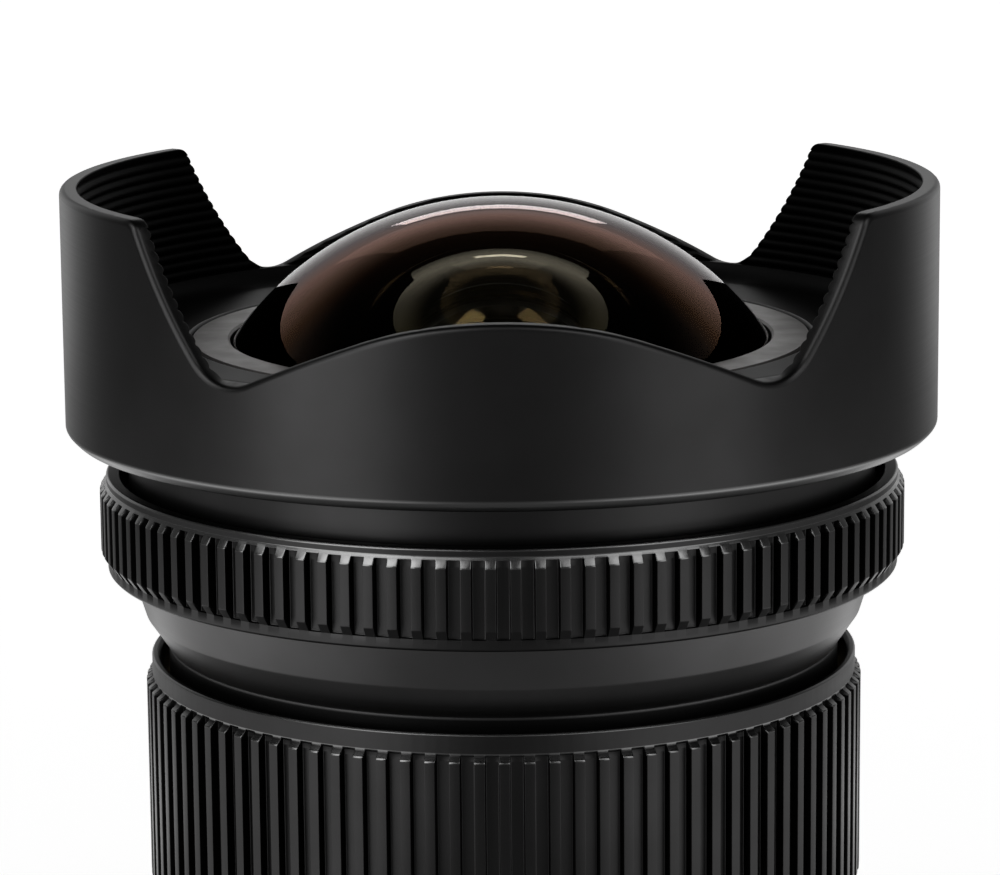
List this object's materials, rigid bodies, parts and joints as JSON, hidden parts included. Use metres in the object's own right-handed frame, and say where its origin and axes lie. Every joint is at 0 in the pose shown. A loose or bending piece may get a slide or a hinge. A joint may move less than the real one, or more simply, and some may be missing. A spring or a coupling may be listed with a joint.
{
  "type": "ultra-wide prime lens",
  "caption": "Ultra-wide prime lens with a bulbous front glass in a fixed petal hood, a focus ring on a helicoid, an aperture ring that works a bladed iris, and a bayonet mount.",
  "frame": {"origin": "centre of the mount flange's rear face, on the optical axis", "axes": "+Z along the optical axis, out of the front glass; +X to the side that stands up on a camera, with the index marks; -Y is the side seen in the picture"},
  "size_m": [0.08, 0.08, 0.0892],
  "materials": {
    "black_anodised": "satin black anodised aluminium",
    "dull_black": "matt black light-absorbing coat",
    "mount_metal": "bright plated brass, fine turned",
    "brass": "turned brass with a film of grease",
    "screw_steel": "blackened steel",
    "blade_steel": "blackened spring steel",
    "gasket_rubber": "soft black rubber",
    "coated_glass": "polished optical glass with a multi-layer coating"
  },
  "bodies": {
    "barrel": {"mount_plate": "mount_metal", "mount_screws": "screw_steel", "rear_baffle": "dull_black", "baffle_screws": "screw_steel", "rear_barrel": "black_anodised", "guide_keys": "brass", "guide_key_screws": "screw_steel"},
    "focus_ring": {"focus_ring": "black_anodised", "helicoid_ring": "brass", "focus_ring_screws": "screw_steel", "bearing_retainer": "brass", "focus_stop_screw": "screw_steel"},
    "lens_unit": {"petal_hood": "black_anodised", "name_ring": "dull_black", "front_gasket": "gasket_rubber", "front_cell": "dull_black", "element_1": "coated_glass", "element_2": "coated_glass", "element_3": "coated_glass", "element_4": "coated_glass", "element_5": "coated_glass", "element_6": "coated_glass", "element_7": "coated_glass", "retainer_2": "dull_black", "retainer_3": "dull_black", "retainer_4": "dull_black", "rear_retainer": "dull_black", "spacer": "dull_black", "iris_base": "dull_black", "iris_screws": "screw_steel", "iris_washer": "blade_steel", "rear_cell": "dull_black", "rear_cell_screws": "screw_steel", "front_barrel": "black_anodised", "scale_sleeve": "black_anodised", "scale_sleeve_screws": "screw_steel", "inner_barrel": "dull_black", "inner_barrel_screws": "screw_steel"},
    "aperture_ring": {"aperture_ring": "black_anodised", "aperture_link": "screw_steel", "link_screw": "screw_steel", "iris_cam_ring": "dull_black"},
    "iris_blade_1": {"iris_blade_1": "blade_steel"},
    "iris_blade_2": {"iris_blade_2": "blade_steel"},
    "iris_blade_3": {"iris_blade_3": "blade_steel"},
    "iris_blade_4": {"iris_blade_4": "blade_steel"},
    "iris_blade_5": {"iris_blade_5": "blade_steel"},
    "iris_blade_6": {"iris_blade_6": "blade_steel"},
    "iris_blade_7": {"iris_blade_7": "blade_steel"}
  },
  "joints": [
    {"name": "focus_turn", "type": "hinge", "parent": "barrel", "child": "focus_ring", "pos_m": [0, 0, 0], "axis": [0, 0, 1], "range_deg": [0, 90]},
    {"name": "focus_extend", "type": "slide", "parent": "barrel", "child": "lens_unit", "axis": [0, 0, 1], "range_m": [0, 0.0013]},
    {"name": "aperture_turn", "type": "hinge", "parent": "lens_unit", "child": "aperture_ring", "pos_m": [0, 0, 0], "axis": [0, 0, 1], "range_deg": [0, 40]},
    {"name": "blade_1_swing", "type": "hinge", "parent": "lens_unit", "child": "iris_blade_1", "pos_m": [0.0144, 0, 0.0518], "axis": [0, 0, 1], "range_deg": [0, 19]},
    {"name": "blade_2_swing", "type": "hinge", "parent": "lens_unit", "child": "iris_blade_2", "pos_m": [0.00898, 0.01126, 0.0518], "axis": [0, 0, 1], "range_deg": [0, 19]},
    {"name": "blade_3_swing", "type": "hinge", "parent": "lens_unit", "child": "iris_blade_3", "pos_m": [-0.0032, 0.01404, 0.0518], "axis": [0, 0, 1], "range_deg": [0, 19]},
    {"name": "blade_4_swing", "type": "hinge", "parent": "lens_unit", "child": "iris_blade_4", "pos_m": [-0.01297, 0.00625, 0.0518], "axis": [0, 0, 1], "range_deg": [0, 19]},
    {"name": "blade_5_swing", "type": "hinge", "parent": "lens_unit", "child": "iris_blade_5", "pos_m": [-0.01297, -0.00625, 0.0518], "axis": [0, 0, 1], "range_deg": [0, 19]},
    {"name": "blade_6_swing", "type": "hinge", "parent": "lens_unit", "child": "iris_blade_6", "pos_m": [-0.0032, -0.01404, 0.0518], "axis": [0, 0, 1], "range_deg": [0, 19]},
    {"name": "blade_7_swing", "type": "hinge", "parent": "lens_unit", "child": "iris_blade_7", "pos_m": [0.00898, -0.01126, 0.0518], "axis": [0, 0, 1], "range_deg": [0, 19]}
  ],
  "couplings": [
    {"joint": "focus_turn", "follows": "focus_extend", "rad_per_m": 1208.3},
    {"joint": "blade_1_swing", "follows": "aperture_turn", "ratio": 0.475},
    {"joint": "blade_2_swing", "follows": "aperture_turn", "ratio": 0.475},
    {"joint": "blade_3_swing", "follows": "aperture_turn", "ratio": 0.475},
    {"joint": "blade_4_swing", "follows": "aperture_turn", "ratio": 0.475},
    {"joint": "blade_5_swing", "follows": "aperture_turn", "ratio": 0.475},
    {"joint": "blade_6_swing", "follows": "aperture_turn", "ratio": 0.475},
    {"joint": "blade_7_swing", "follows": "aperture_turn", "ratio": 0.475}
  ]
}
